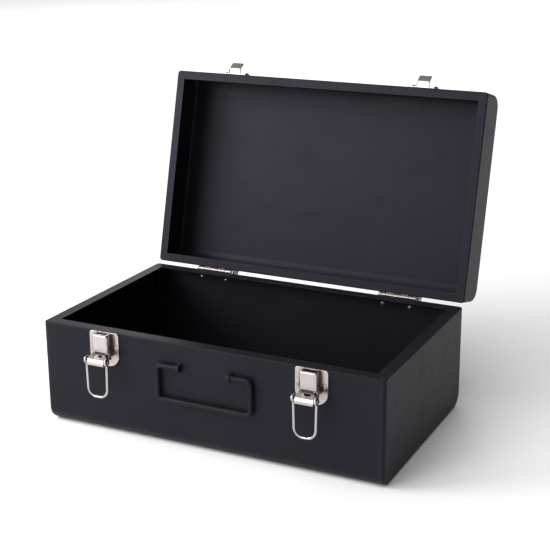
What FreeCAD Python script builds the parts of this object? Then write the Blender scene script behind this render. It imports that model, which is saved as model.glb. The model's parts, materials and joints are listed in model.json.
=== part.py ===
"""Metal tool box: a bent sheet-steel case with a hinged lid, two draw latches and a drop handle.

Frame: millimetres, +Z up, +X along the long side, the front of the box faces -Y.
The origin is the centre of the bottom face.  The lid is modelled closed and then swung
open about the hinge pins, and each latch lever is modelled closed and then swung out.
"""
import FreeCAD, Part

import math
import os

import Sketcher
from FreeCAD import Rotation, Vector

doc = FreeCAD.newDocument("MetalToolBox")

# ---------------------------------------------------------------------------
# Driving dimensions: alias, value (mm or degrees), meaning
# ---------------------------------------------------------------------------
SIZES = [
    ("body_width", 360.0, "outside width of the case, along X"),
    ("body_depth", 214.5, "outside depth of the case, along Y"),
    ("body_height", 105.5, "height of the lower box up to its rim"),
    ("lid_height", 44.3, "height of the lid from its rim to its top"),
    ("steel", 1.0, "thickness of the case sheet"),
    ("long_bend", 14.5, "outside radius of the long bends of both wrappers"),
    ("side_bend", 3.5, "outside radius round the edge of each side pan"),
    ("rim_bend", 1.2, "outside radius at the rims"),
    ("body_flange", 12.0, "width of the lower rim flange"),
    ("lid_flange", 9.0, "width of the lid rim flange"),
    ("lid_gap", 0.4, "gap between the two rims when the lid is closed"),
    ("open_angle", 104.4, "opening of the lid against its stop lugs"),
    ("hinge_reach", 2.4, "hinge axis behind the rear face"),
    ("hinge_spacing", 216.0, "distance between the two hinges"),
    ("hinge_width", 42.0, "width of a hinge"),
    ("hinge_sheet", 0.9, "thickness of a hinge leaf"),
    ("leaf_drop", 25.0, "height of a leaf from the hinge axis"),
    ("pin_radius", 1.2, "radius of the hinge, lever and bail pins"),
    ("running_gap", 0.06, "radial clearance of a turning fit"),
    ("knuckle_gap", 0.4, "gap between neighbouring knuckles"),
    ("barrel_gap", 0.25, "gap between a hinge barrel and the rear face"),
    ("leaf_gap", 0.35, "gap between a leaf and the other leaf's knuckles"),
    ("leaf_corner", 3.0, "radius of the outer corners of a hinge leaf"),
    ("lug_sheet", 1.2, "thickness of a hinge stop lug"),
    ("lug_clearance", 0.15, "half of the gap left between two stop lugs"),
    ("lug_near", 5.0, "distance of a stop lug's contact edge from the hinge axis"),
    ("lug_far", 12.0, "far end of that contact edge"),
    ("lug_foot", 19.0, "far end of the lug's root on the leaf"),
    ("rivet_radius", 1.6, "radius of a rivet shank"),
    ("rivet_head", 2.4, "radius of a rivet head"),
    ("rivet_crown", 0.7, "height of a rivet head"),
    ("catch_crown", 2.2, "height of the outer head of a catch rivet"),
    ("hinge_rivets", 30.2, "spacing of the two rivets of a hinge leaf"),
    ("rivet_drop", 9.2, "distance of the hinge rivets from the hinge axis"),
    ("latch_spacing", 219.0, "distance between the two latches"),
    ("plate_width", 32.2, "width of a latch base plate"),
    ("plate_height", 34.0, "height of a latch base plate"),
    ("plate_top", 105.0, "height of the top edge of the latch plates"),
    ("plate_opening", 77.5, "lower edge of the opening behind the hood and the lever"),
    ("plate_sheet", 1.0, "thickness of the latch and catch plates"),
    ("plate_corner", 2.5, "radius of the small corners of the latch and catch plates"),
    ("plate_foot", 12.0, "radius of the two lower corners of a latch plate"),
    ("hood_width", 16.6, "outside width of the raised hood on a latch plate"),
    ("hood_reach", 9.0, "hood stands this far off the front face"),
    ("hood_sheet", 0.9, "thickness of the hood and of the lever"),
    ("hood_mouth", 87.2, "height of the hood's open lower edge"),
    ("hood_drop", 0.6, "top of the hood below the top of its plate"),
    ("hood_brow", 1.8, "outside radius along the top edge of the hood"),
    ("hood_corner", 1.8, "outside radius of the upright edges of the hood"),
    ("cheek_depth", 3.0, "hood cheeks end this far below the lever pivot"),
    ("cheek_setback", 1.0, "front edge of the cheeks behind the hood's front face"),
    ("slot_width", 12.6, "width of the slot in the top of the hood"),
    ("slot_back", 2.2, "near side of that slot in front of the front face"),
    ("slot_front", 6.4, "far side of that slot in front of the front face"),
    ("lever_out", 6.4, "lever pivot in front of the front face"),
    ("lever_up", 84.9, "height of the lever pivot"),
    ("lever_open", 64.0, "lever swung out from its closed position"),
    ("bail_arm", 9.6, "distance from the lever pivot to the bail pivot"),
    ("bill_width", 18.6, "width of the lever's flared bill"),
    ("lever_gap", 0.4, "gap between the lever and a hood cheek"),
    ("cheek_eye", 2.5, "radius of the lever's cheeks around its pivot"),
    ("ear_eye", 2.3, "radius of the lever's ears around the bail pivot"),
    ("pin_head", 1.9, "radius of the heads of the lever and bail pins"),
    ("pin_head_sheet", 0.6, "thickness of those heads"),
    ("pin_spare", 0.3, "play of a bail between its pin's heads, each side"),
    ("wire_radius", 1.25, "radius of the bail wire"),
    ("eye_wire", 1.32, "radius of the bail wire where it is pressed into an eye"),
    ("bail_width", 22.4, "distance between the two eyes of a bail"),
    ("bail_foot", 21.0, "distance between the bail legs at the cross bar"),
    ("bail_length", 37.0, "bail pivot to the centre of its cross bar"),
    ("bail_eye_gap", 0.1, "radial clearance of a bail eye on its pin"),
    ("bail_shoulder", 8.0, "bail pivot to where its legs start to draw in"),
    ("bail_knee", 12.0, "bend radius at the shoulders of a bail"),
    ("bail_bend", 9.0, "bend radius at the foot of a bail"),
    ("catch_width", 31.0, "width of a catch base plate"),
    ("catch_height", 14.0, "height of a catch base plate"),
    ("catch_up", 106.3, "height of the lower edge of a closed catch"),
    ("bridge_width", 14.4, "outside width of a catch's raised bridge"),
    ("bridge_reach", 6.8, "bridge stands this far off the lid"),
    ("bridge_height", 2.2, "height of the bridge band"),
    ("bridge_corner", 1.6, "outside radius of the bridge's corners"),
    ("lip_reach", 13.2, "tip of the catch lip in front of the lid"),
    ("lip_inset", 0.4, "ends of the lip in from the ends of the bridge"),
    ("handle_radius", 2.5, "radius of the handle rod"),
    ("handle_width", 98.5, "width of the handle, centre line to centre line"),
    ("handle_drop", 33.8, "handle pivot to the centre of the hand bar"),
    ("handle_bend", 4.6, "bend radius of the handle rod, centre line"),
    ("handle_out", 3.4, "handle pivot in front of the front face"),
    ("handle_up", 82.6, "height of the handle pivot"),
    ("eye_spacing", 54.0, "distance between the middles of the handle eyes"),
    ("eye_width", 4.0, "width of a handle eye strap"),
    ("eye_sheet", 1.0, "thickness of a handle eye strap"),
    ("eye_foot", 1.6, "length of the feet of an eye strap beyond its arch"),
    ("stub_end", 1.2, "end of the handle rod inside its eye strap"),
]

sheet = doc.addObject("Spreadsheet::Sheet", "Sizes")
for row, (alias, number, meaning) in enumerate(SIZES, start=1):
    sheet.set("A%d" % row, meaning)
    sheet.set("B%d" % row, str(number))
    sheet.setAlias("B%d" % row, alias)
doc.recompute()


class Size:
    """A number together with the spreadsheet expression that it comes from."""

    def __init__(self, value, text):
        self.value = value
        self.text = text

    def __add__(self, other):
        return Size(self.value + number_of(other), "(%s + %s)" % (self.text, text_of(other)))

    def __radd__(self, other):
        return as_size(other) + self

    def __sub__(self, other):
        return Size(self.value - number_of(other), "(%s - %s)" % (self.text, text_of(other)))

    def __rsub__(self, other):
        return as_size(other) - self

    def __mul__(self, other):
        return Size(self.value * number_of(other), "(%s * %s)" % (self.text, text_of(other)))

    def __rmul__(self, other):
        return self * other

    def __truediv__(self, other):
        return Size(self.value / number_of(other), "(%s / %s)" % (self.text, text_of(other)))

    def __neg__(self):
        return self * -1


def as_size(thing):
    """Return thing as a Size; a plain number becomes a constant expression."""
    return thing if isinstance(thing, Size) else Size(float(thing), "%.6f" % thing)


def number_of(thing):
    return as_size(thing).value


def text_of(thing):
    return as_size(thing).text


def sine(angle):
    return Size(math.sin(math.radians(angle.value)), "sin(%s)" % angle.text)


def cosine(angle):
    return Size(math.cos(math.radians(angle.value)), "cos(%s)" % angle.text)


def tangent(angle):
    return Size(math.tan(math.radians(angle.value)), "tan(%s)" % angle.text)


class Sizes:
    """The spreadsheet cells as attributes, each one a Size."""


for alias, number, meaning in SIZES:
    setattr(Sizes, alias, Size(number, "Sizes.%s" % alias))


# ---------------------------------------------------------------------------
# Helpers that make bound document objects
# ---------------------------------------------------------------------------
TURN_TO_AXIS = {
    "x": Rotation(Vector(0, 1, 0), 90),
    "-x": Rotation(Vector(0, 1, 0), -90),
    "y": Rotation(Vector(1, 0, 0), -90),
    "-y": Rotation(Vector(1, 0, 0), 90),
}
SIDES = (("left", -1), ("right", 1))
SPARE = 2.0  # how far a cutting tool reaches past the material it cuts
BORE_SPARE = 0.2  # the same for a knuckle's bore, which has a neighbour close by

nodes = {}


def bind(thing, path, size):
    thing.setExpression(path, text_of(size))


def place(thing, x, y, z):
    for axis, size in zip("xyz", (x, y, z)):
        bind(thing, "Placement.Base.%s" % axis, size)


def span(middle, width):
    """Return the low and high ends of a span given by its middle and width."""
    return middle - width / 2, middle + width / 2


def block(name, x, y, z):
    """Make a box from a (low, high) pair on each axis."""
    box = doc.addObject("Part::Box", name)
    for side, (low, high) in zip(("Length", "Width", "Height"), (x, y, z)):
        bind(box, side, high - low)
    place(box, x[0], y[0], z[0])
    return box


def cylinder(name, axis, radius, start, length):
    """Make a cylinder of the given length from the point start, along an axis."""
    rod = doc.addObject("Part::Cylinder", name)
    rod.Placement.Rotation = TURN_TO_AXIS[axis]
    bind(rod, "Radius", radius)
    bind(rod, "Height", length)
    place(rod, *start)
    return rod


def dome(name, axis, radius, height, base):
    """Make a low dome that stands on the point base and points along an axis."""
    cap = doc.addObject("Part::Ellipsoid", name)
    cap.Placement.Rotation = TURN_TO_AXIS[axis]
    bind(cap, "Radius1", height)
    bind(cap, "Radius2", radius)
    bind(cap, "Radius3", radius)
    cap.Angle1 = 0
    place(cap, *base)
    return cap


def ring(name, centre_radius, wire_radius, centre):
    """Make a torus whose axis is along X and whose seam is at its top."""
    torus = doc.addObject("Part::Torus", name)
    torus.Placement.Rotation = TURN_TO_AXIS["-x"]
    bind(torus, "Radius1", centre_radius)
    bind(torus, "Radius2", wire_radius)
    place(torus, *centre)
    return torus


def fuse(name, *parts):
    joined = doc.addObject("Part::MultiFuse", name)
    joined.Shapes = list(parts)
    joined.Refine = True
    return joined


def cut(name, base, *tools):
    tool = tools[0] if len(tools) == 1 else fuse(name + "_tools", *tools)
    result = doc.addObject("Part::Cut", name)
    result.Base = base
    result.Tool = tool
    return result


def common(name, first, second):
    result = doc.addObject("Part::Common", name)
    result.Base = first
    result.Tool = second
    return result


def group(name, *parts):
    """Collect separate solids in one object without joining them."""
    gathered = doc.addObject("Part::Compound", name)
    gathered.Links = list(parts)
    return gathered


def origin_plane(body, role):
    return [feature for feature in body.Origin.OriginFeatures if feature.Role == role][0]


def sketch_on(body, name, role, offset):
    """Put a sketch on one of the body's origin planes, moved along the plane's normal."""
    sketch = body.newObject("Sketcher::SketchObject", name)
    sketch.AttachmentSupport = (origin_plane(body, role), [""])
    sketch.MapMode = "FlatFace"
    bind(sketch, "AttachmentOffset.Base.z", offset)
    return sketch


def fix_point(sketch, geometry, position, point):
    """Dimension one end of a sketch line from the sketch's origin."""
    for kind, size in zip(("DistanceX", "DistanceY"), point):
        limit = Sketcher.Constraint(kind, -1, 1, geometry, position, number_of(size))
        index = sketch.addConstraint(limit)
        bind(sketch, "Constraints[%d]" % index, size)


def draw_lines(sketch, points, closed):
    """Draw a dimensioned polyline and return how many lines it has."""
    corners = [Vector(number_of(first), number_of(second), 0) for first, second in points]
    count = len(points) if closed else len(points) - 1
    for index in range(count):
        following = (index + 1) % len(points)
        sketch.addGeometry(Part.LineSegment(corners[index], corners[following]), False)
    for index in range(count if closed else count - 1):
        following = (index + 1) % count
        sketch.addConstraint(Sketcher.Constraint("Coincident", index, 2, following, 1))
    for index in range(count):
        fix_point(sketch, index, 1, points[index])
    if not closed:
        fix_point(sketch, count - 1, 2, points[-1])
    return count


def flat_at(edge, axis, size):
    """Say whether the whole edge lies in the plane where the axis has this value."""
    box = edge.BoundBox
    limits = {"x": (box.XMin, box.XMax), "y": (box.YMin, box.YMax), "z": (box.ZMin, box.ZMax)}
    tolerance = 0.001
    return all(abs(limit - number_of(size)) < tolerance for limit in limits[axis])


def edge_at(**levels):
    """Return a test for edges that lie at the given value on each of the given axes."""
    return lambda edge: all(flat_at(edge, axis, size) for axis, size in levels.items())


def either(*tests):
    """Return a test that accepts an edge when one of the given tests does."""
    return lambda edge: any(test(edge) for test in tests)


def round_edges(body, name, feature, roundings):
    """Round the edges that each test picks, one radius after another."""
    for index, (radius, wanted) in enumerate(roundings):
        doc.recompute()
        edges = feature.Shape.Edges
        picked = ["Edge%d" % (at + 1) for at, edge in enumerate(edges) if wanted(edge)]
        if not picked:
            raise RuntimeError("%s: rounding %d finds no edge" % (name, index + 1))
        rounding = body.newObject("PartDesign::Fillet", "%s_round%d" % (name, index + 1))
        rounding.Base = (feature, picked)
        bind(rounding, "Radius", radius)
        feature = rounding
    body.Tip = feature
    return body


def prism(name, plane, points, low, high, roundings=()):
    """Extrude a polygon between two positions along the normal of an origin plane."""
    body = doc.addObject("PartDesign::Body", name)
    # The sketch on the XZ plane looks along -Y, so its pad starts at the high end.
    offset = -as_size(high) if plane == "XZ" else low
    sketch = sketch_on(body, name + "_outline", plane + "_Plane", offset)
    draw_lines(sketch, points, True)
    pad = body.newObject("PartDesign::Pad", name + "_pad")
    pad.Profile = sketch
    bind(pad, "Length", high - low)
    return round_edges(body, name, pad, roundings)


def rounded_box(name, x, y, z, roundings):
    """Make a box from a (low, high) pair on each axis and round its edges."""
    body = doc.addObject("PartDesign::Body", name)
    feature = body.newObject("PartDesign::AdditiveBox", name + "_block")
    for side, (low, high) in zip(("Length", "Width", "Height"), (x, y, z)):
        bind(feature, side, high - low)
    place(feature, x[0], y[0], z[0])
    return round_edges(body, name, feature, roundings)


def bent_rod(name, radius, points, bends, y, start_plane):
    """Sweep a round rod along a polyline in a plane of constant Y, with rounded corners.

    The first line leaves the start plane ("YZ" or "XY") at a right angle.
    """
    body = doc.addObject("PartDesign::Body", name)
    spine = sketch_on(body, name + "_spine", "XZ_Plane", -y)
    lines = draw_lines(spine, points, False)
    doc.recompute()
    for index, bend in enumerate(bends):
        before, after = points[index], points[index + 2]
        reference = [Vector(number_of(end[0]), number_of(end[1]), 0) for end in (before, after)]
        arc = spine.GeometryCount
        spine.fillet(index, index + 1, reference[0], reference[1], number_of(bend), True, True)
        limit = spine.addConstraint(Sketcher.Constraint("Radius", arc, number_of(bend)))
        bind(spine, "Constraints[%d]" % limit, bend)
    doc.recompute()
    first_x, first_z = points[0]
    if start_plane == "YZ":
        profile = sketch_on(body, name + "_section", "YZ_Plane", first_x)
        middle = (y, first_z)
    else:
        profile = sketch_on(body, name + "_section", "XY_Plane", first_z)
        middle = (first_x, y)
    centre = Vector(number_of(middle[0]), number_of(middle[1]), 0)
    profile.addGeometry(Part.Circle(centre, Vector(0, 0, 1), number_of(radius)), False)
    fix_point(profile, 0, 3, middle)
    limit = profile.addConstraint(Sketcher.Constraint("Radius", 0, number_of(radius)))
    bind(profile, "Constraints[%d]" % limit, radius)
    doc.recompute()
    sweep = body.newObject("PartDesign::AdditivePipe", name + "_sweep")
    sweep.Profile = profile
    sweep.Spine = (spine, ["Edge%d" % (edge + 1) for edge in range(lines + len(bends))])
    body.Tip = sweep
    return body


def rivet(name, x, z, low_y, high_y, near_crown):
    """Make a rivet along Y with a domed head on each side; near_crown is the one nearer -Y."""
    shank = cylinder(name + "_shank", "y", Sizes.rivet_radius, (x, low_y, z), high_y - low_y)
    near = dome(name + "_near", "-y", Sizes.rivet_head, near_crown, (x, low_y, z))
    far = dome(name + "_far", "y", Sizes.rivet_head, Sizes.rivet_crown, (x, high_y, z))
    return fuse(name, shank, near, far)


def rivet_hole(name, x, z, y):
    """Make the tool for a rivet's hole through sheets on both sides of the plane y."""
    start = (x, y - SPARE, z)
    return cylinder(name, "y", Sizes.rivet_radius, start, 2 * SPARE)


def node(name, thing, swing=None):
    """Name a finished sub-part and, if asked, turn it about an axis along X."""
    thing.Label = name
    if swing is not None:
        angle, centre_y, centre_z = swing
        turn = "create(<<rotation>>; create(<<vector>>; 1; 0; 0); %s)" % text_of(angle)
        centre = "create(<<vector>>; 0; %s; %s)" % (text_of(centre_y), text_of(centre_z))
        zero = "create(<<vector>>; 0; 0; 0)"
        thing.setExpression("Placement", "create(<<placement>>; %s; %s; %s)" % (zero, turn, centre))
    nodes[name] = thing
    return thing


# ---------------------------------------------------------------------------
# Positions that several sub-parts share
# ---------------------------------------------------------------------------
half_width = Sizes.body_width / 2
front = -Sizes.body_depth / 2
rear = Sizes.body_depth / 2
lid_rim = Sizes.body_height + Sizes.lid_gap
lid_top = lid_rim + Sizes.lid_height

hinge_y = rear + Sizes.hinge_reach
hinge_z = Sizes.body_height + Sizes.lid_gap / 2
lid_swing = (-Sizes.open_angle, hinge_y, hinge_z)

lever_y = front - Sizes.lever_out
lever_z = Sizes.lever_up
lever_swing = (-Sizes.lever_open, lever_y, lever_z)
bail_y = lever_y - Sizes.bail_arm * sine(Sizes.lever_open)
bail_z = lever_z - Sizes.bail_arm * cosine(Sizes.lever_open)

# Latch rivets as (sideways from the latch, height); catch rivets likewise on the closed lid.
LATCH_RIVETS = ((-12.6, 89.6), (12.6, 89.6), (0.0, 74.0))
CATCH_RIVETS = ((-12.2, 114.2), (12.2, 114.2))


def side_of_pair(spacing, sign):
    return spacing / 2 * sign


# ---------------------------------------------------------------------------
# Case: wrapper and side pans, for the lower box and for the lid
# ---------------------------------------------------------------------------
def case_shell(name, closed_z, rim_z, flange, holes):
    """Make a hollow box with rounded long edges, one open side and an inward rim flange."""
    steel = Sizes.steel
    upright = closed_z.value < rim_z.value
    inward = 1 if upright else -1

    def levels(first, second):
        return (first, second) if upright else (second, first)

    def long_edges(wall, level):
        return either(edge_at(y=-wall, z=level), edge_at(y=wall, z=level))

    def pan_edges(limit, rim):
        sides = either(edge_at(x=-limit), edge_at(x=limit))
        return lambda edge: sides(edge) and not flat_at(edge, "z", rim)

    outer_x = (-half_width, half_width)
    outer_y = (front, rear)
    outer = rounded_box(
        name + "_outer", outer_x, outer_y, levels(closed_z, rim_z),
        [(Sizes.long_bend, long_edges(rear, closed_z)),
         (Sizes.side_bend, pan_edges(half_width, rim_z)),
         (Sizes.rim_bend, edge_at(z=rim_z))])
    floor_z = closed_z + steel * inward
    flange_z = rim_z - steel * inward
    inner_x = half_width - steel
    inner_y = rear - steel
    cavity = rounded_box(
        name + "_cavity", (-inner_x, inner_x), (-inner_y, inner_y), levels(floor_z, flange_z),
        [(Sizes.long_bend - steel, long_edges(inner_y, floor_z)),
         (Sizes.side_bend - steel, pan_edges(inner_x, flange_z))])
    mouth_x = (flange - half_width, half_width - flange)
    mouth_y = (front + flange, rear - flange)
    mouth_z = levels(flange_z - steel * inward, rim_z + SPARE * inward)
    mouth = block(name + "_mouth", mouth_x, mouth_y, mouth_z)
    return cut(name + "_shell", outer, cavity, mouth, *holes)


def pan_region(name, side, sign, closed_z, rim_z, flange):
    """Make the tool that separates one side pan: its end of the box and a mitred flange."""
    seam = Sizes.side_bend + Sizes.steel / 2
    low_z, high_z = (closed_z, rim_z) if closed_z.value < rim_z.value else (rim_z, closed_z)
    seam_x = (half_width - seam) * sign
    end_x = (half_width + SPARE) * sign
    ends = (seam_x, end_x) if sign > 0 else (end_x, seam_x)
    slab_y = (front - SPARE, rear + SPARE)
    slab = block(name + side + "_end", ends, slab_y, (low_z - SPARE, high_z + SPARE))
    inner_x = (half_width - flange) * sign
    inner_y = rear - flange
    seam_y = rear - seam
    corners = [(seam_x, -seam_y), (seam_x, seam_y), (inner_x, inner_y), (inner_x, -inner_y)]
    rims = (rim_z - SPARE, rim_z + SPARE)
    mitre = prism(name + side + "_mitre", "XY", corners, *rims)
    return fuse(name + side + "_region", slab, mitre)


def make_case(name, closed_z, rim_z, flange, holes, swing):
    """Make the wrapper and the two side pans of one half of the case."""
    shell = case_shell(name, closed_z, rim_z, flange, holes)
    regions = []
    for side, sign in SIDES:
        region = pan_region(name + "_", side, sign, closed_z, rim_z, flange)
        label = "%s_side_%s" % (name, side)
        node(label, common(label, shell, region), swing)
        regions.append(region)
    node(name + "_wrap", cut(name + "_wrap", shell, *regions), swing)


# ---------------------------------------------------------------------------
# Hinges: two leaves with stop lugs, a pin and rivets
# ---------------------------------------------------------------------------
KNUCKLES = 5


def leaf_rivet_places(side_sign):
    middle = side_of_pair(Sizes.hinge_spacing, side_sign)
    return [middle - Sizes.hinge_rivets / 2, middle + Sizes.hinge_rivets / 2]


def hinge_leaf(name, middle, direction, knuckles, bore):
    """Make one leaf on the rear face; direction is -1 for the lower and 1 for the upper leaf."""
    sheet_y = (rear, rear + Sizes.hinge_sheet)
    barrel = Sizes.hinge_reach - Sizes.barrel_gap
    clear = barrel + Sizes.leaf_gap
    pitch = Sizes.hinge_width / KNUCKLES
    width = pitch - Sizes.knuckle_gap

    def away(distance):
        return hinge_z + distance * direction

    def levels(near, far):
        return (away(near), away(far)) if direction > 0 else (away(far), away(near))

    plate_x = span(middle, Sizes.hinge_width)
    foot = away(Sizes.leaf_drop)
    plate = rounded_box(
        name + "_plate", plate_x, sheet_y, levels(clear, Sizes.leaf_drop),
        [(Sizes.leaf_corner, either(edge_at(x=plate_x[0], z=foot), edge_at(x=plate_x[1], z=foot)))])
    parts = [plate]
    bores = []
    for index in knuckles:
        low, high = span(middle + pitch * (index - (KNUCKLES - 1) / 2), width)
        tag = "%s_knuckle%d" % (name, index + 1)
        parts.append(cylinder(tag, "x", barrel, (low, hinge_y, hinge_z), width))
        neck_z = levels(as_size(0.0), clear + Sizes.hinge_sheet / 2)
        parts.append(block(tag + "_neck", (low, high), sheet_y, neck_z))
        bore_start = (low - BORE_SPARE, hinge_y, hinge_z)
        bores.append(cylinder(tag + "_bore", "x", bore, bore_start, width + 2 * BORE_SPARE))

    # Each lug meets the other leaf's lug in the plane that halves the angle between the leaves.
    slope = tangent((180 - Sizes.open_angle) / 2)
    contact = [(hinge_y + slope * reach - Sizes.lug_clearance, away(reach))
               for reach in (Sizes.lug_near, Sizes.lug_far)]
    root = rear + Sizes.hinge_sheet / 2
    outline = [(root, away(Sizes.lug_near)), *contact, (root, away(Sizes.lug_foot))]
    lug_reach = (Sizes.hinge_width - Sizes.lug_sheet) / 2
    for index, (side, sign) in enumerate(SIDES):
        low, high = span(middle + lug_reach * sign, Sizes.lug_sheet)
        parts.append(prism("%s_lug_%s" % (name, side), "YZ", outline, low, high))
        hole_x = middle + Sizes.hinge_rivets / 2 * sign
        bores.append(rivet_hole("%s_hole%d" % (name, index + 1), hole_x, away(Sizes.rivet_drop), rear))
    return cut(name, fuse(name + "_solid", *parts), *bores)


def make_hinges():
    """Make both hinges: the lower leaves grip their pins and the upper leaves turn on them."""
    lower_knuckles, upper_knuckles = (0, 2, 4), (1, 3)
    turning_bore = Sizes.pin_radius + Sizes.running_gap
    for side, sign in SIDES:
        middle = side_of_pair(Sizes.hinge_spacing, sign)
        lower, upper, pin = ["hinge_%s_%s" % (part, side) for part in ("leaf_lower", "leaf_upper", "pin")]
        node(lower, hinge_leaf(lower, middle, -1, lower_knuckles, Sizes.pin_radius))
        node(upper, hinge_leaf(upper, middle, 1, upper_knuckles, turning_bore), lid_swing)
        start = (middle - Sizes.hinge_width / 2, hinge_y, hinge_z)
        node(pin, cylinder(pin, "x", Sizes.pin_radius, start, Sizes.hinge_width))
    for half, direction, swing in (("lower", -1, None), ("upper", 1, lid_swing)):
        level = hinge_z + Sizes.rivet_drop * direction
        rivets = []
        for side, sign in SIDES:
            for index, x in enumerate(leaf_rivet_places(sign)):
                name = "hinge_rivet_%s_%s%d" % (half, side, index + 1)
                ends = (rear - Sizes.steel, rear + Sizes.hinge_sheet)
                rivets.append(rivet(name, x, level, *ends, Sizes.rivet_crown))
        node("hinge_rivets_" + half, group("hinge_rivets_" + half, *rivets), swing)


# ---------------------------------------------------------------------------
# Latches: plate with hood, lever, pins, bail and rivets
# ---------------------------------------------------------------------------
def latch_plate(name, middle):
    """Make the base plate with the hood pressed out of it, whose cheeks carry the lever pin."""
    plate_x = span(middle, Sizes.plate_width)
    plate_z = (Sizes.plate_top - Sizes.plate_height, Sizes.plate_top)

    def corners(level):
        return either(edge_at(x=plate_x[0], z=level), edge_at(x=plate_x[1], z=level))

    plate = rounded_box(
        name + "_sheet", plate_x, (front - Sizes.plate_sheet, front), plate_z,
        [(Sizes.plate_foot, corners(plate_z[0])), (Sizes.plate_corner, corners(plate_z[1]))])

    hood_x = span(middle, Sizes.hood_width)
    hood_front = front - Sizes.hood_reach
    hood_low = lever_z - Sizes.cheek_depth
    hood_top = Sizes.plate_top - Sizes.hood_drop
    uprights = either(edge_at(x=hood_x[0], y=hood_front), edge_at(x=hood_x[1], y=hood_front))
    hood = rounded_box(
        name + "_hood", hood_x, (hood_front, front), (hood_low, hood_top),
        [(Sizes.hood_brow, edge_at(y=hood_front, z=hood_top)), (Sizes.hood_corner, uprights)])

    inner_x = span(middle, Sizes.hood_width - 2 * Sizes.hood_sheet)
    inner_y = (hood_front + Sizes.hood_sheet, front + SPARE)
    inner_top = hood_top - Sizes.hood_sheet
    hollow = rounded_box(
        name + "_hollow", inner_x, inner_y, (Sizes.plate_opening, inner_top),
        [(Sizes.hood_brow - Sizes.hood_sheet, edge_at(y=inner_y[0], z=inner_top))])

    wide_x = (hood_x[0] - SPARE, hood_x[1] + SPARE)
    mouth_y = (hood_front - SPARE, hood_front + Sizes.cheek_setback)
    mouth = block(name + "_mouth", wide_x, mouth_y, (hood_low - SPARE, Sizes.hood_mouth))
    slot_y = (front - Sizes.slot_front, front - Sizes.slot_back)
    slot_z = (hood_top - SPARE, hood_top + SPARE)
    slot = block(name + "_slot", span(middle, Sizes.slot_width), slot_y, slot_z)
    pin_start = (wide_x[0], lever_y, lever_z)
    pin_hole = cylinder(name + "_pin_hole", "x", Sizes.pin_radius, pin_start, wide_x[1] - wide_x[0])
    holes = [rivet_hole("%s_hole%d" % (name, index + 1), middle + x, as_size(z), front)
             for index, (x, z) in enumerate(LATCH_RIVETS)]
    return cut(name, fuse(name + "_solid", plate, hood), hollow, mouth, slot, pin_hole, *holes)


# The lever's bill in side view, as (outward, down) from the lever pivot with the lever closed.
BILL_OUTSIDE = ((1.9, 1.9), (2.3, 5.0), (2.3, 10.3), (0.2, 13.0), (-2.3, 14.0))
BILL_INSIDE = ((-2.6, 13.1), (-0.5, 12.3), (1.4, 9.9), (1.4, 4.9), (1.0, 1.9))
BILL_BEND = 1.9  # outside bend radius where the bill turns in towards its lip

# Distances below the lever pivot of the neck's two ends, and of the bill's shoulder and lip.
NECK_TOP, NECK_FOOT, BILL_SHOULDER, BILL_LIP = 1.5, 3.6, 6.4, 15.0
BILL_TIP_ROUND = 2.6  # radius of the bill's two outer corners in front view
WINDOW = ((5.4, 3.6), (3.0, 10.2))  # the window's upper and lower corner, as (sideways, down)


def latch_lever(name, middle):
    """Make the closed lever: a flared bill with a window, inner cheeks and outer ears."""
    thin = Sizes.hood_sheet
    half = Sizes.bill_width / 2
    neck = Sizes.hood_width / 2 - thin - Sizes.lever_gap

    def side_point(outward, down):
        return lever_y - outward, lever_z - down

    def side_edge(point):
        y, z = side_point(*point)
        return edge_at(y=y, z=z)

    outside_bends = either(*[side_edge(point) for point in BILL_OUTSIDE[2:4]])
    inside_bends = either(*[side_edge(point) for point in BILL_INSIDE[1:3]])
    profile_points = [side_point(*point) for point in BILL_OUTSIDE + BILL_INSIDE]
    profile = prism(
        name + "_profile", "YZ", profile_points, middle - half, middle + half,
        [(as_size(BILL_BEND), outside_bends), (BILL_BEND - thin, inside_bends)])

    right = [(neck, NECK_TOP), (neck, NECK_FOOT), (half, BILL_SHOULDER), (half, BILL_LIP)]
    left = [(-x, down) for x, down in reversed(right)]
    front_shape = [(middle + x, lever_z - down) for x, down in right + left]
    depth_y = (lever_y - SPARE * 2, lever_y + SPARE * 2)
    lip_z = lever_z - BILL_LIP
    tips = either(edge_at(x=middle - half, z=lip_z), edge_at(x=middle + half, z=lip_z))
    outline = prism(name + "_outline", "XZ", front_shape, *depth_y, [(as_size(BILL_TIP_ROUND), tips)])
    bill = common(name + "_bill", profile, outline)

    corners = [*WINDOW, *[(-x, down) for x, down in reversed(WINDOW)]]
    window_shape = [(middle + x, lever_z - down) for x, down in corners]
    window = prism(name + "_window", "XZ", window_shape, *depth_y)
    parts = [cut(name + "_plate", bill, window)]

    ear_z = lever_z - Sizes.bail_arm
    eyes = (
        ("cheek", neck, Sizes.cheek_eye, lever_z, (lever_z - BILL_SHOULDER + thin, lever_z)),
        ("ear", half, Sizes.ear_eye, ear_z, (ear_z - Sizes.ear_eye, ear_z + Sizes.ear_eye)))
    for side, sign in SIDES:
        for part, limit, radius, z, flank_z in eyes:
            x = span(middle + (limit - thin / 2) * sign, thin)
            tag = "%s_%s_%s" % (name, part, side)
            parts.append(cylinder(tag + "_eye", "x", radius, (x[0], lever_y, z), thin))
            parts.append(block(tag, x, (lever_y - BILL_INSIDE[2][0] - thin / 2, lever_y), flank_z))

    turning = Sizes.pin_radius + Sizes.running_gap
    length = Sizes.bill_width + 2 * SPARE
    bores = [cylinder(name + tag, "x", turning, (middle - half - SPARE, lever_y, z), length)
             for tag, z in (("_pivot", lever_z), ("_bail_pivot", ear_z))]
    return cut(name, fuse(name + "_solid", *parts), *bores)


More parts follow.
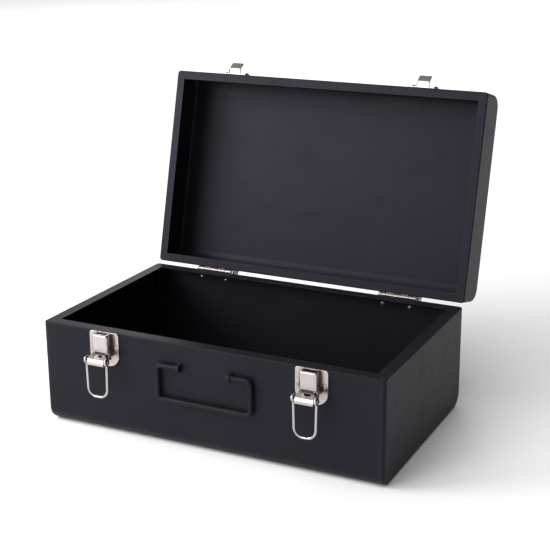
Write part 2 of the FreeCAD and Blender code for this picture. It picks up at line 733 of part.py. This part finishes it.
def headed_pin(name, middle, reach, y, z):
    """Make a pin along X with a flat head at each end, reaching the same way on both sides."""
    parts = [cylinder(name + "_shank", "x", Sizes.pin_radius, (middle - reach, y, z), reach * 2)]
    for side, sign in SIDES:
        low, high = span(middle + (reach + Sizes.pin_head_sheet / 2) * sign, Sizes.pin_head_sheet)
        head_name = "%s_head_%s" % (name, side)
        parts.append(cylinder(head_name, "x", Sizes.pin_head, (low, y, z), high - low))
    return fuse(name, *parts)


def bail(name, middle):
    """Make the hanging wire loop with an eye at the top of each leg."""
    eye_radius = Sizes.pin_radius + Sizes.bail_eye_gap + Sizes.eye_wire
    top = bail_z - eye_radius
    shoulder = bail_z - Sizes.bail_shoulder
    foot = bail_z - Sizes.bail_length
    wide, narrow = Sizes.bail_width / 2, Sizes.bail_foot / 2
    right = [(wide, top), (wide, shoulder), (narrow, foot)]
    left = [(-x, z) for x, z in reversed(right)]
    points = [(middle + x, z) for x, z in right + left]
    bends = [Sizes.bail_knee, Sizes.bail_bend, Sizes.bail_bend, Sizes.bail_knee]
    parts = [bent_rod(name + "_loop", Sizes.wire_radius, points, bends, bail_y, "XY")]
    for side, sign in SIDES:
        centre = (middle + wide * sign, bail_y, bail_z)
        parts.append(ring("%s_eye_%s" % (name, side), eye_radius, Sizes.eye_wire, centre))
    return fuse(name, *parts)


def make_latches():
    bail_reach = Sizes.bail_width / 2 + Sizes.wire_radius + Sizes.pin_spare
    rivets = []
    for side, sign in SIDES:
        middle = side_of_pair(Sizes.latch_spacing, sign)
        plate, lever, loop, lever_pin, bail_pin = [
            part + side for part in ("latch_plate_", "latch_lever_", "bail_", "lever_pin_", "bail_pin_")]
        node(plate, latch_plate(plate, middle))
        node(lever, latch_lever(lever, middle), lever_swing)
        node(lever_pin, headed_pin(lever_pin, middle, Sizes.hood_width / 2, lever_y, lever_z))
        node(bail_pin, headed_pin(bail_pin, middle, bail_reach, bail_y, bail_z))
        node(loop, bail(loop, middle))
        rivets.extend(front_rivets("latch_rivet_" + side, middle, LATCH_RIVETS, Sizes.rivet_crown))
    node("latch_rivets", group("latch_rivets", *rivets))


def front_rivets(name, middle, places, crown):
    """Make the rivets that hold one latch plate or catch on the front sheet."""
    return [rivet("%s%d" % (name, index + 1), middle + x, as_size(z),
                  front - Sizes.plate_sheet, front + Sizes.steel, crown)
            for index, (x, z) in enumerate(places)]


# ---------------------------------------------------------------------------
# Catches on the lid
# ---------------------------------------------------------------------------
LIP_CREASE = 0.2  # the lip starts to lean out this far below the top of the bridge
LIP_SLANT = 0.65  # sheet of the leaning lip, measured along Y and along Z


def catch(name, middle):
    """Make a catch plate with a low bridge, open above and below, and a flared lip."""
    thin = Sizes.hood_sheet
    low_z = Sizes.catch_up
    high_z = low_z + Sizes.catch_height
    plate_x = span(middle, Sizes.catch_width)
    corners = either(*[edge_at(x=x, z=z) for x in plate_x for z in (low_z, high_z)])
    plate = rounded_box(
        name + "_sheet", plate_x, (front - Sizes.plate_sheet, front), (low_z, high_z),
        [(Sizes.plate_corner, corners)])

    bridge_top = low_z + Sizes.bridge_height
    bridge_x = span(middle, Sizes.bridge_width)
    bridge_y = front - Sizes.bridge_reach
    uprights = either(*[edge_at(x=x, y=bridge_y) for x in bridge_x])
    bridge = rounded_box(
        name + "_bridge", bridge_x, (bridge_y, front), (low_z, bridge_top),
        [(Sizes.bridge_corner, uprights)])
    tunnel_x = span(middle, Sizes.bridge_width - 2 * thin)
    tunnel_y = (bridge_y + thin, front - Sizes.plate_sheet)
    tunnel = block(name + "_tunnel", tunnel_x, tunnel_y, (low_z - SPARE, bridge_top + SPARE))
    arch = cut(name + "_arch", bridge, tunnel)

    crease_z = bridge_top - LIP_CREASE
    root_z = crease_z - thin * 1.5
    tip_y = front - Sizes.lip_reach
    tip_z = crease_z + Sizes.lip_reach - Sizes.bridge_reach
    lip_points = [
        (bridge_y, root_z),
        (bridge_y, crease_z),
        (tip_y, tip_z),
        (tip_y + LIP_SLANT, tip_z + LIP_SLANT),
        (bridge_y + thin, crease_z + thin / 2),
        (bridge_y + thin, root_z)]
    lip_x = span(middle, Sizes.bridge_width - 2 * Sizes.lip_inset)
    lip = prism(name + "_lip", "YZ", lip_points, *lip_x)
    holes = [rivet_hole("%s_hole%d" % (name, index + 1), middle + x, as_size(z), front)
             for index, (x, z) in enumerate(CATCH_RIVETS)]
    return cut(name, fuse(name + "_solid", plate, arch, lip), *holes)


def make_catches():
    rivets = []
    for side, sign in SIDES:
        middle = side_of_pair(Sizes.latch_spacing, sign)
        node("catch_" + side, catch("catch_" + side, middle), lid_swing)
        rivets.extend(front_rivets("catch_rivet_" + side, middle, CATCH_RIVETS, Sizes.catch_crown))
    node("catch_rivets", group("catch_rivets", *rivets), lid_swing)


# ---------------------------------------------------------------------------
# Drop handle and the two straps that carry it
# ---------------------------------------------------------------------------
HANDLE_SHOULDER = 0.8  # radius of the handle's upper bends, as a part of its lower ones


def handle_eye(name, side_sign):
    """Make the strap around one end of the handle rod, with a foot above and below."""
    handle_y = front - Sizes.handle_out
    bore = Sizes.handle_radius + Sizes.running_gap
    outer = bore + Sizes.eye_sheet
    x = span(Sizes.eye_spacing / 2 * side_sign, Sizes.eye_width)
    through_x = (x[0] - SPARE, x[1] + SPARE)
    legs_z = span(Sizes.handle_up, outer * 2)
    feet_z = span(Sizes.handle_up, (outer + Sizes.eye_foot) * 2)
    arch = cylinder(name + "_arch", "x", outer, (x[0], handle_y, Sizes.handle_up), Sizes.eye_width)
    legs = block(name + "_legs", x, (handle_y, front), legs_z)
    feet = block(name + "_feet", x, (front - Sizes.eye_sheet, front), feet_z)
    bore_start = (through_x[0], handle_y, Sizes.handle_up)
    hole = cylinder(name + "_bore", "x", bore, bore_start, through_x[1] - through_x[0])
    gap = block(name + "_gap", through_x, (handle_y, front + SPARE), span(Sizes.handle_up, bore * 2))
    return cut(name, fuse(name + "_solid", arch, legs, feet), hole, gap)


def make_handle():
    """Make the bent rod, with its two ends turned inwards, and the straps around them."""
    top = Sizes.handle_up
    foot = top - Sizes.handle_drop
    half = Sizes.handle_width / 2
    end = (Sizes.eye_spacing - Sizes.eye_width) / 2 + Sizes.stub_end
    points = [(end, top), (half, top), (half, foot), (-half, foot), (-half, top), (-end, top)]
    shoulder = Sizes.handle_bend * HANDLE_SHOULDER
    bends = [shoulder, Sizes.handle_bend, Sizes.handle_bend, shoulder]
    handle_y = front - Sizes.handle_out
    node("handle", bent_rod("handle", Sizes.handle_radius, points, bends, handle_y, "YZ"))
    for side, sign in SIDES:
        node("handle_eye_" + side, handle_eye("handle_eye_" + side, sign))


# ---------------------------------------------------------------------------
# Build the document
# ---------------------------------------------------------------------------
def case_holes(half, direction, places):
    """Make the rivet holes of one half of the case: its hinges' and its front hardware's."""
    tools = []
    level = hinge_z + Sizes.rivet_drop * direction
    for side, sign in SIDES:
        for index, x in enumerate(leaf_rivet_places(sign)):
            name = "%s_rear_hole_%s%d" % (half, side, index + 1)
            tools.append(rivet_hole(name, x, level, rear))
        middle = side_of_pair(Sizes.latch_spacing, sign)
        for index, (x, z) in enumerate(places):
            name = "%s_front_hole_%s%d" % (half, side, index + 1)
            tools.append(rivet_hole(name, middle + x, as_size(z), front))
    return tools


lower_holes = case_holes("lower", -1, LATCH_RIVETS)
upper_holes = case_holes("upper", 1, CATCH_RIVETS)
make_case("lower", as_size(0.0), Sizes.body_height, Sizes.body_flange, lower_holes, None)
make_case("upper", lid_top, lid_rim, Sizes.lid_flange, upper_holes, lid_swing)
make_hinges()
make_latches()
make_catches()
make_handle()
doc.recompute()

# ---------------------------------------------------------------------------
# Check every object and every sub-part, then write the files
# ---------------------------------------------------------------------------
failed = [thing.Name for thing in doc.Objects if {"Invalid", "Error"} & set(thing.State)]
if failed:
    raise RuntimeError("objects that did not recompute: %s" % ", ".join(failed))
for name, thing in nodes.items():
    if thing.Shape.isNull() or not thing.Shape.isValid() or not thing.Shape.Solids:
        raise RuntimeError("sub-part %s has no valid solid" % name)

os.makedirs("parts", exist_ok=True)
for name, thing in nodes.items():
    thing.Shape.exportStep(os.path.join("parts", name + ".step"))
    print("%-26s solids %2d  volume %10.1f" % (name, len(thing.Shape.Solids), thing.Shape.Volume))
print("%d sub-parts written" % len(nodes))
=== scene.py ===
"""Looks of the metal tool box: powder-coated steel, nickel-plated latches, pale studio."""

import json
import math

import bpy
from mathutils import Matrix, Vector

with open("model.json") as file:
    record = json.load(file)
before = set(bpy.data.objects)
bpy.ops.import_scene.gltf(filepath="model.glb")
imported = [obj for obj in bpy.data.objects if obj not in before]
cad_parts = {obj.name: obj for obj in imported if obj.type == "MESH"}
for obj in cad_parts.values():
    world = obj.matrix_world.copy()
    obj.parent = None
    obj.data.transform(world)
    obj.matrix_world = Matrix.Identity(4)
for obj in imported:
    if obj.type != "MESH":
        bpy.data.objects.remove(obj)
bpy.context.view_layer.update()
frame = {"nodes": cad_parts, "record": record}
nodes = frame["nodes"]
slots = {part["node"]: part["material_slot"] for part in frame["record"]["subparts"]}

MM = 0.001
BEVEL_SAMPLES = 6
RECESS_SAMPLES = 8
MIX_COLOUR_INPUTS = (6, 7)
MIX_COLOUR_OUTPUT = 2


def colour(red, green, blue):
    return (red, green, blue, 1.0)


COAT = colour(0.0058, 0.0053, 0.0080)
COAT_CLOUD = colour(0.0086, 0.0080, 0.0112)
COAT_RUBBED = colour(0.030, 0.028, 0.034)
COAT_SHINE = colour(0.86, 0.82, 1.0)
DUST = colour(0.042, 0.040, 0.040)
TARNISH = colour(0.27, 0.225, 0.20)
# Painted shade: the dark colour laid into the recesses of the nickel parts, standing in for shade.
RECESS_SHADE = colour(0.065, 0.052, 0.046)
POLISHED = colour(0.74, 0.71, 0.69)
RAW_STEEL = colour(0.07, 0.062, 0.058)
FLOOR_WHITE = colour(0.86, 0.86, 0.86)
SKY_WHITE = colour(1.0, 1.0, 1.0)


# ---------------------------------------------------------------------------
# Shader graph helper
# ---------------------------------------------------------------------------
class Graph:
    """A material under construction; its methods return the sockets that others take."""

    def __init__(self, name):
        self.material = bpy.data.materials.new(name)
        self.material.use_nodes = True
        self.tree = self.material.node_tree
        self.shader = self.tree.nodes["Principled BSDF"]
        self.place = self.add("ShaderNodeTexCoord").outputs["Object"]

    def add(self, kind, **settings):
        made = self.tree.nodes.new(kind)
        for key, value in settings.items():
            setattr(made, key, value)
        return made

    def feed(self, socket, value):
        """Give a socket a link or a constant."""
        if isinstance(value, bpy.types.NodeSocket):
            self.tree.links.new(value, socket)
        else:
            socket.default_value = value

    def set(self, **inputs):
        """Set the shader's own sockets; an underscore stands for a space in a name."""
        for name, value in inputs.items():
            self.feed(self.shader.inputs[name.replace("_", " ")], value)

    def stretch(self, scale, turn):
        """Return the surface point scaled, and turned by Euler angles, for a streaky pattern."""
        mapping = self.add("ShaderNodeMapping")
        self.feed(mapping.inputs["Vector"], self.place)
        mapping.inputs["Scale"].default_value = scale
        mapping.inputs["Rotation"].default_value = turn
        return mapping.outputs["Vector"]

    def noise(self, size, detail, roughness=0.5, vector=None):
        """Return noise whose features are about this size in metres."""
        made = self.add("ShaderNodeTexNoise")
        self.feed(made.inputs["Vector"], vector or self.place)
        made.inputs["Scale"].default_value = 1.0 / size
        made.inputs["Detail"].default_value = detail
        made.inputs["Roughness"].default_value = roughness
        return made.outputs["Fac"]

    def remap(self, value, low, high, to_low=0.0, to_high=1.0):
        """Turn low into to_low and high into to_high, with a smooth step between."""
        made = self.add("ShaderNodeMapRange", interpolation_type="SMOOTHSTEP")
        numbers = (low, high, to_low, to_high)
        self.feed(made.inputs["Value"], value)
        for name, number in zip(("From Min", "From Max", "To Min", "To Max"), numbers):
            made.inputs[name].default_value = number
        return made.outputs["Result"]

    def combine(self, operation, first, second):
        """Return the sum, product or other operation on two numbers."""
        made = self.add("ShaderNodeMath", operation=operation)
        self.feed(made.inputs[0], first)
        self.feed(made.inputs[1], second)
        return made.outputs["Value"]

    def blend(self, factor, first, second):
        """Mix two colours."""
        made = self.add("ShaderNodeMix", data_type="RGBA")
        self.feed(made.inputs["Factor"], factor)
        for socket, value in zip(MIX_COLOUR_INPUTS, (first, second)):
            self.feed(made.inputs[socket], value)
        return made.outputs[MIX_COLOUR_OUTPUT]

    def rounded(self, radius):
        """Return the normal that the surface has with its sharp edges rounded off."""
        made = self.add("ShaderNodeBevel", samples=BEVEL_SAMPLES)
        made.inputs["Radius"].default_value = radius
        return made.outputs["Normal"]

    def normal_dot(self, first, second):
        made = self.add("ShaderNodeVectorMath", operation="DOT_PRODUCT")
        self.feed(made.inputs[0], first)
        self.feed(made.inputs[1], second)
        return made.outputs["Value"]

    def surface_normal(self):
        return self.add("ShaderNodeNewGeometry").outputs["Normal"]

    def edge(self, radius):
        """Return 1 on sharp edges and 0 on flat surfaces."""
        agreement = self.normal_dot(self.surface_normal(), self.rounded(radius))
        return self.remap(agreement, low=0.99, high=0.86)

    def hidden(self, reach):
        """Return 1 deep in a recess and 0 in the open, judged by what stands this near."""
        made = self.add("ShaderNodeAmbientOcclusion", samples=RECESS_SAMPLES)
        made.inputs["Distance"].default_value = reach
        return self.remap(made.outputs["AO"], low=0.92, high=0.58)

    def facing_up(self):
        """Return 1 where the surface faces up and 0 where it is steep."""
        rise = self.normal_dot(self.surface_normal(), (0.0, 0.0, 1.0))
        return self.remap(rise, low=0.75, high=0.98)

    def bump(self, height, distance, strength=1.0, under=None):
        """Return the normal of a surface raised by height times distance, over another normal."""
        made = self.add("ShaderNodeBump")
        self.feed(made.inputs["Height"], height)
        made.inputs["Distance"].default_value = distance
        made.inputs["Strength"].default_value = strength
        if under is not None:
            self.feed(made.inputs["Normal"], under)
        return made.outputs["Normal"]


# ---------------------------------------------------------------------------
# Materials
# ---------------------------------------------------------------------------
def powder_coat(name):
    """Satin black powder coat: orange peel, slight clouding, rubbed edges, faint scratches, dust."""
    scratch_share = 0.14
    smudge_dulls = 0.05
    wear_polishes = 0.10
    dust_dulls = 0.3

    graph = Graph(name)
    clouds = graph.noise(60 * MM, detail=3.0)
    coat = graph.blend(clouds, COAT, COAT_CLOUD)

    smudges = graph.remap(graph.noise(22 * MM, detail=5.0, roughness=0.6), low=0.52, high=0.72)
    patchy = graph.noise(7 * MM, detail=4.0, roughness=0.65)
    patches = graph.remap(patchy, low=0.36, high=0.62, to_low=0.25)
    rubbed = graph.combine("MULTIPLY", graph.edge(1.0 * MM), patches)
    drawn_out = graph.stretch(scale=(0.06, 1.0, 1.4), turn=(0.1, 0.25, 0.0))
    streaks = graph.noise(4 * MM, detail=3.0, vector=drawn_out)
    scratch = graph.combine("MULTIPLY", graph.remap(streaks, low=0.68, high=0.72), scratch_share)
    worn = graph.combine("MAXIMUM", rubbed, scratch)
    settled = graph.remap(patchy, low=0.42, high=0.7, to_low=0.04, to_high=0.14)
    dust = graph.combine("MULTIPLY", graph.facing_up(), settled)

    coat = graph.blend(worn, coat, COAT_RUBBED)
    graph.set(Base_Color=graph.blend(dust, coat, DUST))

    grain = graph.noise(1.1 * MM, detail=2.0)
    rough = graph.remap(grain, low=0.3, high=0.7, to_low=0.42, to_high=0.52)
    rough = graph.combine("ADD", rough, graph.combine("MULTIPLY", smudges, smudge_dulls))
    rough = graph.combine("SUBTRACT", rough, graph.combine("MULTIPLY", worn, wear_polishes))
    rough = graph.combine("ADD", rough, graph.combine("MULTIPLY", dust, dust_dulls))
    graph.set(Roughness=rough, Specular_IOR_Level=0.175, Specular_Tint=COAT_SHINE)

    waves = graph.bump(graph.noise(45 * MM, detail=1.0), 0.12 * MM)
    graph.set(Normal=graph.bump(grain, 0.02 * MM, strength=0.5, under=waves))
    return graph.material


def nickel(name, tone, edge_tone, low_rough, high_rough, dent):
    """Thin nickel plate: clouded, tarnished, finely scratched, darkened by painted shade in its recesses,
    soft at its edges.
    """
    cloud_lightens = 1.25
    tarnish_share = 0.45
    tarnish_dulls = 0.25
    scratch_dulls = 0.10

    graph = Graph(name)
    clouds = graph.noise(7 * MM, detail=4.0, roughness=0.6)
    plate = graph.blend(clouds, colour(*tone), colour(*(cloud_lightens * channel for channel in tone)))
    spots = graph.noise(3.2 * MM, detail=5.0, roughness=0.7)
    tarnish = graph.combine("MULTIPLY", graph.remap(spots, low=0.54, high=0.72), tarnish_share)
    plate = graph.blend(tarnish, plate, TARNISH)
    plate = graph.blend(graph.edge(0.5 * MM), plate, edge_tone)
    uneven = graph.remap(clouds, low=0.25, high=0.6, to_low=0.75, to_high=0.95)
    # Painted shade: darken the plate's colour wherever nearby parts close it in, such as under the hood.
    recess_shade = graph.combine("MULTIPLY", graph.hidden(14 * MM), uneven)
    graph.set(Base_Color=graph.blend(recess_shade, plate, RECESS_SHADE), Metallic=1.0)

    drawn_out = graph.stretch(scale=(1.0, 1.0, 0.07), turn=(0.0, 0.35, 0.0))
    streaks = graph.noise(1.6 * MM, detail=3.0, vector=drawn_out)
    scratch = graph.remap(streaks, low=0.56, high=0.70)
    rough = graph.remap(clouds, low=0.3, high=0.7, to_low=low_rough, to_high=high_rough)
    rough = graph.combine("ADD", rough, graph.combine("MULTIPLY", tarnish, tarnish_dulls))
    rough = graph.combine("ADD", rough, graph.combine("MULTIPLY", scratch, scratch_dulls))
    graph.set(Roughness=rough)

    soft = graph.rounded(0.22 * MM)
    dented = graph.bump(graph.noise(6 * MM, detail=1.0), dent, under=soft)
    graph.set(Normal=graph.bump(streaks, 0.006 * MM, strength=0.6, under=dented))
    return graph.material


finishes = {
    "case_paint": powder_coat("case_coat"),
    "handle_paint": powder_coat("handle_coat"),
    "nickel_plate": nickel("nickel_plate", (0.47, 0.425, 0.42), POLISHED, 0.13, 0.27, 0.10 * MM),
    "bright_wire": nickel("bright_wire", (0.43, 0.415, 0.44), POLISHED, 0.10, 0.22, 0.02 * MM),
    "rivet_metal": nickel("rivet_metal", (0.40, 0.37, 0.36), POLISHED, 0.22, 0.38, 0.04 * MM),
}
catch_finish = nickel("dull_nickel", (0.30, 0.275, 0.265), RAW_STEEL, 0.20, 0.34, 0.05 * MM)
for name, thing in nodes.items():
    finish = catch_finish if name.startswith("catch") else finishes[slots[name]]
    thing.data.materials.clear()
    thing.data.materials.append(finish)


# ---------------------------------------------------------------------------
# Studio and camera
# ---------------------------------------------------------------------------
def make_floor(side):
    bpy.ops.mesh.primitive_plane_add(size=side, location=(0, 0, 0))
    floor = bpy.context.object
    floor.name = "floor"
    graph = Graph("floor_white")
    graph.set(Base_Color=FLOOR_WHITE, Roughness=0.9)
    floor.data.materials.append(graph.material)


def make_world(bright_side, darkest, brightest):
    """Pale surroundings, brightest towards one side and dimmest opposite it."""
    world = bpy.data.worlds.new("studio")
    world.use_nodes = True
    tree = world.node_tree
    direction = tree.nodes.new("ShaderNodeTexCoord").outputs["Generated"]
    gradient = tree.nodes.new("ShaderNodeVectorMath")
    gradient.operation = "DOT_PRODUCT"
    tree.links.new(direction, gradient.inputs[0])
    gradient.inputs[1].default_value = bright_side
    strength = tree.nodes.new("ShaderNodeMapRange")
    strength.interpolation_type = "SMOOTHSTEP"
    tree.links.new(gradient.outputs["Value"], strength.inputs["Value"])
    span = {"From Min": -0.8, "From Max": 0.9, "To Min": darkest, "To Max": brightest}
    for socket, value in span.items():
        strength.inputs[socket].default_value = value
    background = tree.nodes["Background"]
    background.inputs["Color"].default_value = SKY_WHITE
    tree.links.new(strength.outputs["Result"], background.inputs["Strength"])
    bpy.context.scene.world = world


def aim(thing, direction):
    """Turn a lamp or a camera to look along a direction."""
    thing.rotation_euler = direction.to_track_quat("-Z", "Y").to_euler()


def softbox(name, place, target, size, power):
    """Add a rectangular soft light of this size in metres and power in watts."""
    light = bpy.data.lights.new(name, "AREA")
    light.shape = "RECTANGLE"
    light.size, light.size_y = size
    light.energy = power
    box = bpy.data.objects.new(name, light)
    bpy.context.collection.objects.link(box)
    box.location = place
    aim(box, Vector(target) - Vector(place))


def make_sun(source, spread, strength):
    """Light everything evenly from one direction, softened over a spread in degrees, without a glint."""
    light = bpy.data.lights.new("sky", "SUN")
    light.energy = strength
    light.angle = math.radians(spread)
    lamp = bpy.data.objects.new("sky", light)
    lamp.visible_glossy = False
    bpy.context.collection.objects.link(lamp)
    aim(lamp, -Vector(source))


def make_camera(place, heading, tilt):
    """Place the camera, turned left by a heading and down by a tilt, both in degrees."""
    heading = math.radians(heading)
    tilt = math.radians(tilt)
    level = math.cos(tilt)
    data = bpy.data.cameras.new("camera")
    data.sensor_width = 36.0
    data.lens = 81.16
    data.shift_x = -0.0455
    data.shift_y = -0.0327
    data.clip_start = 0.01
    camera = bpy.data.objects.new("camera", data)
    bpy.context.collection.objects.link(camera)
    camera.location = place
    aim(camera, Vector((-math.sin(heading) * level, math.cos(heading) * level, -math.sin(tilt))))
    bpy.context.scene.camera = camera


make_floor(side=60.0)
make_world(bright_side=(-0.66, -0.60, 0.20), darkest=0.04, brightest=0.80)
softbox("key", place=(-1.20, -0.75, 0.90), target=(-0.10, -0.10, 0.12), size=(0.7, 0.7), power=18)
softbox("glow", place=(-1.00, -2.20, 1.00), target=(0.0, 0.15, 0.22), size=(1.0, 0.8), power=19)
softbox("back", place=(-0.8, 3.6, 1.7), target=(-0.2, 2.2, 0.0), size=(3.2, 1.2), power=55)
make_sun(source=(-0.35, -0.35, 1.0), spread=60, strength=1.4)
make_camera(place=(0.5341, -1.0398, 0.5180), heading=25.07, tilt=16.83)
bpy.context.scene.view_settings.view_transform = "Standard"
